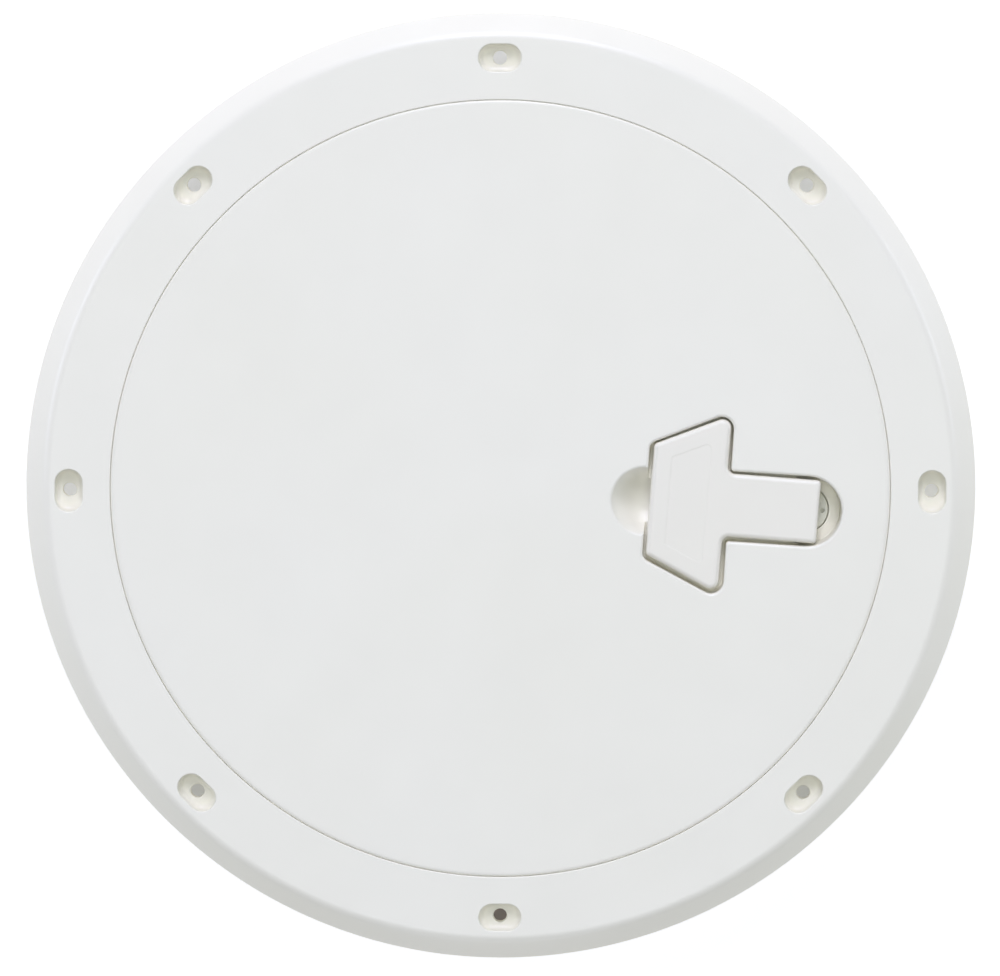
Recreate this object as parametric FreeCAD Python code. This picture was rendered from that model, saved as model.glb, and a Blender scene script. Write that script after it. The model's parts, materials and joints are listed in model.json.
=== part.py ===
# Deck inspection plate: a round access hatch for a boat's deck. A removable lid drops into a
# screwed-down frame ring and is held by a cam latch with a T-handle that folds flush.
# Millimetres, +Z out of the deck. The origin is the ring's centre in the deck plane,
# which is the underside of the flange.
import FreeCAD, Part

import math
import os

Vector = FreeCAD.Vector
UP = Vector(0, 0, 1)
ORIGIN = Vector(0, 0, 0)

# Frame ring
opening_diameter = 307.5      # top opening that the lid drops into
flange_width = 33.75          # opening edge to outer edge
flange_height = 9.0           # deck plane to top face
bevel_width = 8.5             # top face to outer edge
rim_height = 1.5              # upright part of the outer edge
bevel_edge_radius = 5.5       # top face into bevel
frame_wall = 3.0
seam_edge_radius = 0.5        # frame's side of the seam
collar_depth = 26.0           # collar that passes through the deck
collar_root_radius = 0.8      # fillet where the collar meets the flange
seat_width = 1.5              # flat ring round the collar that bears on the deck
ledge_width = 10.5            # shelf that the lid's seal lies over
ledge_top = 0.5
ledge_thickness = 3.0
lip_thickness = 2.5           # drop lip along the ledge's inner edge
lip_drop = 3.5                # lip below the ledge's underside

# Deck screw recesses
screw_count = 8
screw_set_back = 17.5         # outer edge to the circle of screws
recess_length = 16.8          # along the ring
recess_width = 10.8           # across the ring
recess_floor = 3.5            # material under the screw head
recess_floor_radius = 2.2     # walls curve into the floor like a bowl
recess_edge_radius = 0.5
screw_hole_diameter = 5.4
hole_lead_diameter = 6.0      # small lead-in at the hole's mouth
hole_lead_depth = 0.3
frame_ribs_per_bay = 2        # between neighbouring screw bosses
frame_rib_thickness = 2.0
frame_rib_recess = 0.8        # ribs stay this far above the deck plane
boss_wall = 2.5

# Lid
seam_gap = 0.25
lid_edge_radius = 1.3         # lid's side of the seam
lid_draft = 8.0               # degrees, on the lid's side, so that it can tilt out
lid_thickness = 4.0
lid_edge_clearance = 1.3      # lid's rim above the ledge
seal_width = 4.5
seal_height = 3.5
seal_set_back = 3.5           # opening edge to the seal's outer edge
seal_ledge_gap = 0.3
groove_clearance = 0.1
groove_inner_wall = 3.2
lid_rib_thickness = 2.0
lid_rib_depth = 6.0           # below the lid's underside
lid_rib_count = 12
lid_ring_rib_radius = 72.0
well_wall = 2.5

# Folding handle, measured from its pin
latch_turn = -3.7             # degrees, the latch's bearing from +X
handle_rest_turn = -0.75      # degrees, how far the latch has turned past its pocket's line
latch_set_back = 32.8         # opening's edge to the pin and the spindle's axis
handle_reach = 61.9           # pin to the head's far edge
handle_tail = 4.7             # pin to the stem's end
head_length = 29.8
head_far_width = 43.8         # width of the head at its far edge
head_flare = 24.7             # degrees, each flank opens towards the stem
stem_width = 25.1
handle_thickness = 6.6
far_corner_radius = 2.1
ear_corner_radius = 3.5
throat_corner_radius = 2.7
handle_edge_radius = 2.0
tail_edge_radius = 1.3        # round the stem's end
panel_inset = 7.0             # shallow panel on the head, inside its edges
panel_depth = 0.1
panel_slope = 80.0            # degrees from upright, on the panel's sides
handle_wall = 2.6
handle_skin = 2.4
handle_rib_thickness = 2.0
pocket_gap = 1.4              # round the handle
pocket_draft = 1.5            # degrees
pocket_edge_radius = 1.2
pocket_floor_radius = 0.6
rest_gap = 0.3                # handle above the pocket's floor
scoop_diameter = 26.7
scoop_depth = 10.0
scoop_offset = 1.7            # scoop's centre beyond the head's far edge

# Spindle and its pin
pin_diameter = 3.0
pin_depth = 5.0               # pin's centre below the handle's top
pin_clearance = 0.06
pin_end_recess = 0.6
heel_clearance = 0.4          # heel above the spindle's head
spindle_head_diameter = 17.8
spindle_head_thickness = 2.5
spindle_head_clearance = 0.4
lug_width = 7.8
lug_radius = 3.2
lug_clearance = 0.3
dimple_diameter = 1.8         # small blind hole in the spindle's head
dimple_depth = 1.6
dimple_offset = 6.7
spindle_diameter = 12.0
spindle_clearance = 0.1
spindle_boss_diameter = 25.0
spindle_boss_bottom = -12.0
gusset_reach = 6.5
gusset_drop = 5.5
o_ring_section = 2.0
o_ring_depth = 3.5            # O-ring's centre below the spindle head's underside

# Cam and what holds it
drive_square = 8.0
drive_clearance = 0.1
spring_washer_diameter = 21.0
spring_washer_thickness = 0.5
spring_washer_rise = 0.5
cam_hub_diameter = 18.0
cam_hub_height = 6.0
cam_engagement = 6.0          # how far the cam reaches past the lip's inner edge
cam_width = 14.0
cam_arm_thickness = 4.5
cam_tip_length = 9.5          # level part that bears on the lip
cam_ramp_length = 9.0
cam_lip_gap = 0.4
cam_turn = 90.0               # degrees; along the rim, clear of the lip, when unlatched
cam_washer_diameter = 15.0
cam_washer_thickness = 1.0
cam_screw_diameter = 4.0
cam_screw_length = 11.0
cam_screw_head_diameter = 9.4
cam_screw_head_height = 2.8
screw_clearance = 0.1

# Far hooks, on the side of the lid away from the latch
hook_spread = 9.5             # degrees, each side of the latch's line
hook_width = 14.0
hook_thickness = 3.0
hook_lip_gap = 0.5
hook_set_back = 1.5           # riser inside the lip's inner edge
hook_engagement = 6.5         # foot past the lip's inner edge
hook_plate_length = 25.0
hook_bend_radius = 1.5
hook_gusset_thickness = 1.6
hook_gusset_length = 6.0
hook_screw_pitch = 10.0
hook_screw_first = 8.5        # riser's outer face to the nearer screw
hook_screw_diameter = 3.5
hook_screw_length = 9.0
hook_screw_head_diameter = 6.6
hook_screw_head_height = 2.2
hook_boss_diameter = 8.0
hook_screw_count = 2

# Radii and levels that follow
opening_radius = opening_diameter / 2
plate_radius = opening_radius + flange_width
bevel_radius = plate_radius - bevel_width
collar_radius = opening_radius + frame_wall
seat_radius = collar_radius + seat_width
ledge_radius = opening_radius - ledge_width
ledge_bottom = ledge_top - ledge_thickness
lip_bottom = ledge_bottom - lip_drop
screw_circle_radius = plate_radius - screw_set_back
flange_underside = flange_height - frame_wall
lid_radius = opening_radius - seam_gap
latch_radius = opening_radius - latch_set_back
lid_underside = flange_height - lid_thickness
lid_edge_bottom = ledge_top + lid_edge_clearance
seal_outer_radius = opening_radius - seal_set_back
seal_inner_radius = seal_outer_radius - seal_width
seal_bottom = ledge_top + seal_ledge_gap
seal_top = seal_bottom + seal_height
lid_rib_bottom = lid_underside - lid_rib_depth
lid_rib_radius = seal_inner_radius - groove_clearance - groove_inner_wall
pocket_floor = flange_height - handle_thickness - rest_gap
pin_height = flange_height - pin_depth
well_floor = pin_height - handle_tail - heel_clearance
spindle_seat = well_floor - spindle_head_thickness
well_radius = stem_width / 2 + pocket_gap
cam_hub_top = spindle_boss_bottom - spring_washer_thickness - spring_washer_rise
cam_hub_bottom = cam_hub_top - cam_hub_height
cam_tip_top = lip_bottom - cam_lip_gap
cam_reach = ledge_radius + cam_engagement - latch_radius
hook_foot_top = lip_bottom - hook_lip_gap
hook_riser_radius = ledge_radius - hook_set_back


def rounded_wire(corners, place):
    """Closed wire through corners (a, b, radius); each corner is an arc of its radius."""
    joints = []
    count = len(corners)
    for index, (a, b, radius) in enumerate(corners):
        before = corners[index - 1]
        after = corners[(index + 1) % count]
        back = Vector(before[0] - a, before[1] - b, 0)
        onward = Vector(after[0] - a, after[1] - b, 0)
        back.normalize()
        onward.normalize()
        corner = Vector(a, b, 0)
        if radius <= 0:
            joints.append([corner])
            continue
        half_angle = back.getAngle(onward) / 2
        run = radius / math.tan(half_angle)
        bisector = back + onward
        bisector.normalize()
        middle = corner + bisector * (radius / math.sin(half_angle) - radius)
        joints.append([corner + back * run, middle, corner + onward * run])
    edges = []
    for index, points in enumerate(joints):
        points = [place(p.x, p.y) for p in points]
        if len(points) == 3:
            edges.append(Part.Arc(*points).toShape())
        following = joints[(index + 1) % count][0]
        following = place(following.x, following.y)
        if points[-1].distanceToPoint(following) > 1e-6:
            edges.append(Part.LineSegment(points[-1], following).toShape())
    return Part.Wire(edges)


def at_height(height):
    """Places outline points on a level plane."""
    return lambda a, b: Vector(a, b, height)


def in_section(radius, height):
    """Places section points in the plane through the Z axis."""
    return Vector(radius, 0, height)


def revolved(corners):
    """Solid of revolution about Z from a section of (radius, height, corner radius)."""
    face = Part.Face(rounded_wire(corners, in_section))
    return face.revolve(ORIGIN, UP, 360)


def prism(corners, bottom, top):
    """Upright solid on a rounded outline."""
    face = Part.Face(rounded_wire(corners, at_height(bottom)))
    return face.extrude(UP * (top - bottom))


def side_prism(corners, width):
    """Solid from a side view (along X, height), centred on the X axis and width across Y."""
    face = Part.Face(rounded_wire(corners, in_section))
    return face.extrude(Vector(0, width, 0)).translated(Vector(0, -width / 2, 0))


def cylinder(radius, bottom, top, x=0.0, y=0.0):
    return Part.makeCylinder(radius, top - bottom, Vector(x, y, bottom))


def grown(corners, distance):
    """Outline (a, b, radius) moved outwards by distance, its arcs kept concentric."""
    moved = []
    count = len(corners)
    for index, (a, b, radius) in enumerate(corners):
        before = corners[index - 1]
        after = corners[(index + 1) % count]
        first = Vector(a - before[0], b - before[1], 0)
        second = Vector(after[0] - a, after[1] - b, 0)
        first.normalize()
        second.normalize()
        turn = first.x * second.y - first.y * second.x
        out = Vector(first.y + second.y, -first.x - second.x, 0)
        out = out * (distance / (1 + first.dot(second)))
        new_radius = radius + distance if turn > 0 else radius - distance
        moved.append((a + out.x, b + out.y, max(new_radius, 0.2)))
    return moved


def drafted(corners, bottom, top, angle):
    """Solid on an outline that is full size at the top and narrows by the draft angle."""
    narrow = grown(corners, -(top - bottom) * math.tan(math.radians(angle)))
    wires = [rounded_wire(narrow, at_height(bottom)), rounded_wire(corners, at_height(top))]
    return Part.makeLoft(wires, True, True)


def obround(length, width, x=0.0):
    """Round-ended slot outline, its length along Y."""
    half_length = length / 2
    half_width = width / 2
    near = half_width * 0.999
    return [
        (x - half_width, -half_length, near),
        (x + half_width, -half_length, near),
        (x + half_width, half_length, near),
        (x - half_width, half_length, near),
    ]


def handle_outline(tail, tail_radius=0.0):
    """T-shaped outline about the pin, anticlockwise, with a flared head."""
    far_half = head_far_width / 2
    ear_half = far_half + head_length * math.tan(math.radians(head_flare))
    stem_half = stem_width / 2
    far = -handle_reach
    throat = far + head_length
    return [
        (far, -far_half, far_corner_radius),
        (throat, -ear_half, ear_corner_radius),
        (throat, -stem_half, throat_corner_radius),
        (tail, -stem_half, tail_radius),
        (tail, stem_half, tail_radius),
        (throat, stem_half, throat_corner_radius),
        (throat, ear_half, ear_corner_radius),
        (far, far_half, far_corner_radius),
    ]


def pocket_outline():
    """Handle's outline with the gap round it; the stem's slot ends in a full round."""
    return grown(handle_outline(stem_width / 2, stem_width / 2 - 0.01), pocket_gap)


def level_edges(shape, height, wanted=lambda point: True):
    """Edges that lie at one height and whose middle point passes the test."""
    found = []
    for edge in shape.Edges:
        if any(abs(vertex.Z - height) > 1e-4 for vertex in edge.Vertexes):
            continue
        middle = edge.valueAt((edge.FirstParameter + edge.LastParameter) / 2)
        if abs(middle.z - height) < 1e-4 and wanted(middle):
            found.append(edge)
    return found


def out_to_latch(shape):
    """From the lid's centre out to the latch, with the latch's line along +X."""
    return shape.translated(Vector(latch_radius, 0, 0))


def to_lid(shape):
    """From the latch's line along +X to its bearing on the lid."""
    return shape.rotated(ORIGIN, UP, latch_turn)


def to_latch(shape):
    """From the pin's own place to its place and bearing on the lid, as turned at rest."""
    return to_lid(out_to_latch(shape.rotated(ORIGIN, UP, handle_rest_turn)))


def frame_ring():
    """Flange with bevel, hollow underside, collar, ledge and drop lip in one moulding."""
    section = [
        (opening_radius, flange_height, seam_edge_radius),
        (opening_radius, ledge_top, 0),
        (ledge_radius, ledge_top, 0.6),
        (ledge_radius, lip_bottom, 0.6),
        (ledge_radius + lip_thickness, lip_bottom, 0.6),
        (ledge_radius + lip_thickness, ledge_bottom, 0.8),
        (opening_radius, ledge_bottom, 0.8),
        (opening_radius, -collar_depth, 0.6),
        (collar_radius, -collar_depth, 0.6),
        (collar_radius, 0, collar_root_radius),
        (plate_radius, 0, 0),
        (plate_radius, rim_height, 0.8),
        (bevel_radius, flange_height, bevel_edge_radius),
    ]
    ring = revolved(section)
    hollow = revolved([
        (seat_radius, -1.0, 0),
        (seat_radius, flange_underside, 0.8),
        (bevel_radius - frame_wall * 0.4, flange_underside, 0.8),
        (plate_radius - frame_wall, rim_height, 0),
        (plate_radius - frame_wall, -1.0, 0),
    ])
    fillings = []
    cuts = []
    boss = prism(obround(recess_length + 2 * boss_wall, recess_width + 2 * boss_wall,
                         screw_circle_radius), 0, flange_underside)
    recess = prism(obround(recess_length, recess_width, screw_circle_radius),
                   recess_floor, flange_height + 1)
    recess = recess.makeFillet(recess_floor_radius, level_edges(recess, recess_floor))
    hole = cylinder(screw_hole_diameter / 2, -1, flange_height, screw_circle_radius)
    lead = Part.makeCone(screw_hole_diameter / 2, hole_lead_diameter / 2, hole_lead_depth,
                         Vector(screw_circle_radius, 0, recess_floor - hole_lead_depth))
    rib = Part.makeBox(flange_width + frame_wall, frame_rib_thickness,
                       flange_underside - frame_rib_recess,
                       Vector(opening_radius, -frame_rib_thickness / 2, frame_rib_recess))
    bay = 360 / screw_count
    for index in range(screw_count):
        bearing = index * bay
        fillings.append(boss.rotated(ORIGIN, UP, bearing))
        for tool in (recess, hole, lead):
            cuts.append(tool.rotated(ORIGIN, UP, bearing))
        for step in range(1, frame_ribs_per_bay + 1):
            rib_bearing = bearing + bay * step / (frame_ribs_per_bay + 1)
            fillings.append(rib.rotated(ORIGIN, UP, rib_bearing))
    stiffeners = fillings[0].fuse(fillings[1:]).common(hollow)
    ring = ring.cut(hollow).fuse(stiffeners).removeSplitter()
    ring = ring.cut(cuts)
    reach = recess_width / 2 + 1
    rims = level_edges(ring, flange_height,
                       lambda p: abs(math.hypot(p.x, p.y) - screw_circle_radius) < reach)
    return ring.makeFillet(recess_edge_radius, rims)


def spherical_scoop(extra):
    """Ball whose cap is the finger scoop, larger by extra for the wall beneath it."""
    mouth = scoop_diameter / 2
    ball_radius = (mouth ** 2 + scoop_depth ** 2) / (2 * scoop_depth)
    centre = Vector(-handle_reach - scoop_offset, 0,
                    flange_height - scoop_depth + ball_radius)
    return Part.makeSphere(ball_radius + extra, centre)


def hook_places():
    """Bearings of the two far hooks from the latch's line."""
    return [180 - hook_spread, 180 + hook_spread]


def hook_screw_radii():
    first = hook_riser_radius - hook_screw_first
    return [first - index * hook_screw_pitch for index in range(hook_screw_count)]


def lid_panel():
    """Lid moulding: disc, seal groove, ribs, handle pocket, scoop and spindle boss."""
    side_run = (flange_height - lid_edge_bottom) * math.tan(math.radians(lid_draft))
    groove_outer = seal_outer_radius + groove_clearance
    groove_inner = seal_inner_radius - groove_clearance
    disc = revolved([
        (0, flange_height, 0),
        (0, lid_underside, 0),
        (lid_rib_radius, lid_underside, 0.5),
        (lid_rib_radius, lid_edge_bottom, 0.5),
        (groove_inner, lid_edge_bottom, 0.3),
        (groove_inner, seal_top, 0),
        (groove_outer, seal_top, 0),
        (groove_outer, lid_edge_bottom, 0.3),
        (lid_radius - side_run, lid_edge_bottom, 0.3),
        (lid_radius, flange_height, lid_edge_radius),
    ])
    ribs = []
    inside = lid_underside + 0.5
    rib = Part.makeBox(lid_rib_radius, lid_rib_thickness, inside - lid_rib_bottom,
                       Vector(0, -lid_rib_thickness / 2, lid_rib_bottom))
    for index in range(lid_rib_count):
        ribs.append(rib.rotated(ORIGIN, UP, (index + 0.5) * 360 / lid_rib_count))
    for radius in (lid_ring_rib_radius / 2, lid_ring_rib_radius):
        ring = cylinder(radius + lid_rib_thickness, lid_rib_bottom, inside)
        ribs.append(ring.cut(cylinder(radius, lid_rib_bottom - 1, inside + 1)))
    edge_trim = cylinder(lid_rib_radius + 0.2, lid_rib_bottom, inside)
    boss = cylinder(hook_boss_diameter / 2, lid_rib_bottom, inside)
    for bearing in hook_places():
        for radius in hook_screw_radii():
            ribs.append(boss.translated(Vector(radius, 0, 0)).rotated(ORIGIN, UP, bearing))
    stiffening = ribs[0].fuse(ribs[1:]).common(edge_trim)

    outline = pocket_outline()
    pocket_shell = prism(grown(outline, well_wall), pocket_floor - well_wall, inside)
    round_shell = cylinder(well_radius + well_wall, spindle_seat - well_wall, inside)
    scoop_shell = spherical_scoop(well_wall).common(
        cylinder(4 * scoop_diameter, -4 * scoop_depth, inside))
    spindle_boss = cylinder(spindle_boss_diameter / 2, spindle_boss_bottom, spindle_seat)
    boss_radius = spindle_boss_diameter / 2
    gusset_top = spindle_seat - well_wall
    gusset = side_prism([
        (boss_radius - 1, gusset_top - gusset_drop, 0),
        (boss_radius, gusset_top - gusset_drop, 0),
        (boss_radius + gusset_reach, gusset_top, 0),
        (boss_radius + gusset_reach, gusset_top + 1, 0),
        (boss_radius - 1, gusset_top + 1, 0),
    ], lid_rib_thickness)
    gussets = [gusset.rotated(ORIGIN, UP, 45 + 90 * index) for index in range(4)]
    housing = pocket_shell.fuse([round_shell, scoop_shell, spindle_boss] + gussets)

    draft_run = math.tan(math.radians(pocket_draft))
    pocket = drafted(outline, pocket_floor, flange_height, pocket_draft)
    pocket = pocket.makeFillet(pocket_floor_radius, level_edges(pocket, pocket_floor))
    well_depth = flange_height - well_floor
    well = Part.makeCone(well_radius - well_depth * draft_run, well_radius, well_depth,
                         Vector(0, 0, well_floor))
    well = well.makeFillet(pocket_floor_radius, level_edges(well, well_floor))
    seat = cylinder(spindle_head_diameter / 2 + spindle_head_clearance, spindle_seat,
                    flange_height)
    bore = cylinder(spindle_diameter / 2 + spindle_clearance, spindle_boss_bottom - 1,
                    flange_height)
    hollow = pocket.fuse([well, seat, bore, spherical_scoop(0)])

    lid = disc.fuse([stiffening, out_to_latch(housing)]).removeSplitter()
    lid = lid.cut(out_to_latch(hollow))
    pilot = cylinder(hook_screw_diameter / 2 + screw_clearance, lid_rib_bottom - 1,
                     lid_rib_bottom + hook_screw_length - hook_thickness + 0.5)
    for bearing in hook_places():
        for radius in hook_screw_radii():
            lid = lid.cut(pilot.translated(Vector(radius, 0, 0)).rotated(ORIGIN, UP, bearing))
    latch_end = latch_radius + well_radius + 1
    rims = level_edges(lid, flange_height, lambda p: math.hypot(p.x, p.y) < latch_end)
    lid = lid.makeFillet(pocket_edge_radius, rims)
    return to_lid(lid)


def lid_seal():
    """Soft ring with a rounded foot over the frame's ledge."""
    return revolved([
        (seal_inner_radius, seal_top, 0),
        (seal_inner_radius, seal_bottom, 1.4),
        (seal_outer_radius, seal_bottom, 1.4),
        (seal_outer_radius, seal_top, 0),
    ])


def pull_handle():
    """T-handle: rounded top edges, hollow ribbed underside, slotted heel for the lug."""
    bottom = flange_height - handle_thickness
    outline = handle_outline(handle_tail)
    long_body = prism(handle_outline(3 * handle_tail), bottom, flange_height)
    long_body = long_body.makeFillet(handle_edge_radius,
                                     level_edges(long_body, flange_height,
                                                 lambda p: p.x < 2.9 * handle_tail))
    beyond_tail = Part.makeBox(4 * handle_tail, 2 * stem_width, 2 * handle_thickness,
                               Vector(handle_tail, -stem_width, bottom - 1))
    below_pin = Part.makeBox(4 * handle_tail, 2 * stem_width, pin_depth + handle_tail,
                             Vector(0, -stem_width, pin_height - pin_depth - handle_tail))
    body = long_body.cut([beyond_tail, below_pin])
    heel = Part.makeCylinder(handle_tail, stem_width,
                             Vector(0, -stem_width / 2, pin_height), Vector(0, 1, 0))
    lower_half = Part.makeBox(2 * handle_tail, stem_width, handle_tail,
                              Vector(-handle_tail, -stem_width / 2, pin_height - handle_tail))
    body = body.fuse(heel.common(lower_half)).removeSplitter()
    tail_rim = []
    for edge in body.Edges:
        middle = edge.valueAt((edge.FirstParameter + edge.LastParameter) / 2)
        if abs(middle.x - handle_tail) < 1e-4 and middle.z > pin_height + 0.1:
            tail_rim.append(edge)
    body = body.makeFillet(tail_edge_radius, tail_rim)
    cheek_start = -handle_tail - handle_wall
    core = prism(grown(outline, -handle_wall), bottom - 1, flange_height - handle_skin)
    core = core.cut(Part.makeBox(handle_reach, 2 * handle_reach, 2 * handle_thickness,
                                 Vector(cheek_start, -handle_reach, -1)))
    spine = Part.makeBox(handle_reach, handle_rib_thickness, handle_thickness,
                         Vector(-handle_reach, -handle_rib_thickness / 2, bottom))
    cross = Part.makeBox(handle_rib_thickness, 2 * handle_reach, handle_thickness,
                         Vector(head_length / 2 - handle_reach, -handle_reach, bottom))
    throat = cross.translated(Vector(head_length / 2, 0, 0))
    body = body.cut(core.cut([spine, cross, throat]))
    slot_half = lug_width / 2 + lug_clearance
    slot_top = lug_radius + lug_clearance
    slot = side_prism([
        (-slot_top, pin_height - 2 * handle_tail, 0),
        (2 * handle_tail, pin_height - 2 * handle_tail, 0),
        (2 * handle_tail, pin_height + slot_top, 0),
        (-slot_top, pin_height + slot_top, slot_top),
    ], 2 * slot_half)
    pin_hole = Part.makeCylinder(pin_diameter / 2 + pin_clearance, 2 * stem_width,
                                 Vector(0, -stem_width, pin_height), Vector(0, 1, 0))
    far = -handle_reach
    far_half = head_far_width / 2
    ear_half = far_half + head_length * math.tan(math.radians(head_flare))
    head = [(far, -far_half, panel_inset + 0.8), (far + head_length, -ear_half, panel_inset + 2),
            (far + head_length, ear_half, panel_inset + 2), (far, far_half, panel_inset + 0.8)]
    panel = drafted(grown(head, -panel_inset), flange_height - panel_depth, flange_height,
                    panel_slope)
    return to_latch(body.cut([slot, pin_hole, panel]))


def handle_pin():
    length = stem_width - 2 * pin_end_recess
    pin = Part.makeCylinder(pin_diameter / 2, length, Vector(0, -length / 2, pin_height),
                            Vector(0, 1, 0))
    return to_latch(pin.makeChamfer(0.3, pin.Edges))


def latch_spindle():
    """Round head with the handle's lug above, sealed shaft and square drive below."""
    shaft_radius = spindle_diameter / 2
    groove_middle = spindle_seat - o_ring_depth
    groove_half = o_ring_section / 2
    groove_radius = shaft_radius - o_ring_section
    shaft_end = spindle_boss_bottom - 0.2
    body = revolved([
        (0, well_floor, 0),
        (0, shaft_end, 0),
        (shaft_radius, shaft_end, 0.3),
        (shaft_radius, groove_middle - groove_half, 0),
        (groove_radius, groove_middle - groove_half, 0),
        (groove_radius, groove_middle + groove_half, 0),
        (shaft_radius, groove_middle + groove_half, 0),
        (shaft_radius, spindle_seat, 0),
        (spindle_head_diameter / 2, spindle_seat, 0),
        (spindle_head_diameter / 2, well_floor, 0.4),
    ])
    drive_end = cam_hub_bottom + screw_clearance
    half = drive_square / 2
    drive = prism([(-half, -half, 0.8), (half, -half, 0.8), (half, half, 0.8),
                   (-half, half, 0.8)], drive_end, shaft_end + 0.5)
    lug = side_prism([
        (-lug_radius, well_floor - 0.5, 0),
        (lug_radius, well_floor - 0.5, 0),
        (lug_radius, pin_height + lug_radius, lug_radius * 0.999),
        (-lug_radius, pin_height + lug_radius, lug_radius * 0.999),
    ], lug_width)
    body = body.fuse([drive, lug]).removeSplitter()
    pin_hole = Part.makeCylinder(pin_diameter / 2 + pin_clearance, 2 * lug_width,
                                 Vector(0, -lug_width, pin_height), Vector(0, 1, 0))
    screw_hole = cylinder(cam_screw_diameter / 2 + screw_clearance, drive_end - 1,
                          drive_end + cam_screw_length)
    dimple = cylinder(dimple_diameter / 2, well_floor - dimple_depth, well_floor + 1,
                      dimple_offset)
    return to_latch(body.cut([pin_hole, screw_hole, dimple]))


def spindle_seal():
    radius = (spindle_diameter - o_ring_section) / 2 + spindle_clearance / 2
    ring = Part.makeTorus(radius, o_ring_section / 2 * 0.99)
    return to_latch(ring.translated(Vector(0, 0, spindle_seat - o_ring_depth)))


def spring_washer():
    """Dished washer between the spindle boss and the cam's hub."""
    inner = spindle_diameter / 2 + 4 * spindle_clearance
    outer = spring_washer_diameter / 2
    top = spindle_boss_bottom
    return to_latch(revolved([
        (outer, top, 0),
        (inner, top - spring_washer_rise, 0),
        (inner, top - spring_washer_rise - spring_washer_thickness, 0),
        (outer, top - spring_washer_thickness, 0),
    ]))


def latch_cam():
    """Cranked arm: hub on the spindle's square, ramp, and a raised tip for the lip."""
    half = cam_width / 2
    hub_radius = cam_hub_diameter / 2
    ramp_end = cam_reach - cam_tip_length
    ramp_start = ramp_end - cam_ramp_length
    root_top = cam_hub_bottom + cam_arm_thickness
    tip_bottom = cam_tip_top - cam_arm_thickness
    side = side_prism([
        (-hub_radius, cam_hub_bottom, 0),
        (ramp_start + 1, cam_hub_bottom, 3.0),
        (ramp_end + 2, tip_bottom, 3.0),
        (cam_reach, tip_bottom, 1.0),
        (cam_reach, cam_tip_top, 1.5),
        (ramp_end, cam_tip_top, 2.0),
        (ramp_start, root_top, 2.0),
        (-hub_radius, root_top, 0),
    ], cam_hub_diameter)
    plan = prism([
        (-half, -half, 0), (cam_reach, -half, half * 0.98),
        (cam_reach, half, half * 0.98), (-half, half, 0),
    ], cam_hub_bottom - 1, cam_tip_top + 1)
    hub = cylinder(hub_radius, cam_hub_bottom, cam_hub_top)
    cam = side.common(plan).fuse(hub).removeSplitter()
    socket_half = drive_square / 2 + drive_clearance
    socket = prism([(-socket_half, -socket_half, 0.8), (socket_half, -socket_half, 0.8),
                    (socket_half, socket_half, 0.8), (-socket_half, socket_half, 0.8)],
                   cam_hub_bottom - 1, cam_hub_top + 1)
    return to_latch(cam.cut(socket).rotated(ORIGIN, UP, cam_turn))


def cam_washer():
    washer = cylinder(cam_washer_diameter / 2, cam_hub_bottom - cam_washer_thickness,
                      cam_hub_bottom)
    hole = cylinder(cam_screw_diameter / 2 + 4 * screw_clearance,
                    cam_hub_bottom - 2 * cam_washer_thickness, cam_hub_bottom + 1)
    return to_latch(washer.cut(hole))


def pan_screw(diameter, length, head_diameter, head_height, seat):
    """Screw that points up, with its domed head's bearing face at the seat level."""
    return revolved([
        (0, seat - head_height, 0),
        (head_diameter / 2, seat - head_height, head_height * 0.7),
        (head_diameter / 2, seat, 0),
        (diameter / 2, seat, 0),
        (diameter / 2, seat + length, diameter / 4),
        (0, seat + length, 0),
    ])


def cam_screw():
    screw = pan_screw(cam_screw_diameter, cam_screw_length, cam_screw_head_diameter,
                      cam_screw_head_height, cam_hub_bottom - cam_washer_thickness)
    return to_latch(screw)


def far_hook(bearing):
    """Screwed tongue: plate under the lid, riser inside the lip, foot below it."""
    plate_bottom = lid_rib_bottom - hook_thickness
    foot_bottom = hook_foot_top - hook_thickness
    toe = ledge_radius + hook_engagement
    inner = hook_riser_radius - hook_thickness
    hook = side_prism([
        (hook_riser_radius - hook_plate_length, lid_rib_bottom, 0.5),
        (hook_riser_radius - hook_plate_length, plate_bottom, 0.5),
        (inner, plate_bottom, hook_bend_radius),
        (inner, foot_bottom, hook_bend_radius),
        (toe, foot_bottom, 1.0),
        (toe, hook_foot_top, 1.0),
        (hook_riser_radius, hook_foot_top, 0.3),
        (hook_riser_radius, lid_rib_bottom, 0.5),
    ], hook_width)
    gusset = side_prism([
        (inner - hook_gusset_length, plate_bottom + 1, 0),
        (inner - hook_gusset_length, plate_bottom, 0),
        (inner, foot_bottom + hook_bend_radius, 0),
        (inner + 1, foot_bottom + hook_bend_radius, 0),
        (inner + 1, plate_bottom + 1, 0),
    ], hook_gusset_thickness)
    side = (hook_width - hook_gusset_thickness) / 2
    gussets = [gusset.translated(Vector(0, offset, 0)) for offset in (-side, side)]
    hook = hook.fuse(gussets).removeSplitter()
    holes = [cylinder(hook_screw_diameter / 2 + screw_clearance, plate_bottom - 1,
                      lid_rib_bottom + 1, radius) for radius in hook_screw_radii()]
    return to_lid(hook.cut(holes).rotated(ORIGIN, UP, bearing))


def hook_screw(bearing, radius):
    screw = pan_screw(hook_screw_diameter, hook_screw_length, hook_screw_head_diameter,
                      hook_screw_head_height, lid_rib_bottom - hook_thickness)
    return to_lid(screw.translated(Vector(radius, 0, 0)).rotated(ORIGIN, UP, bearing))


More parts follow.
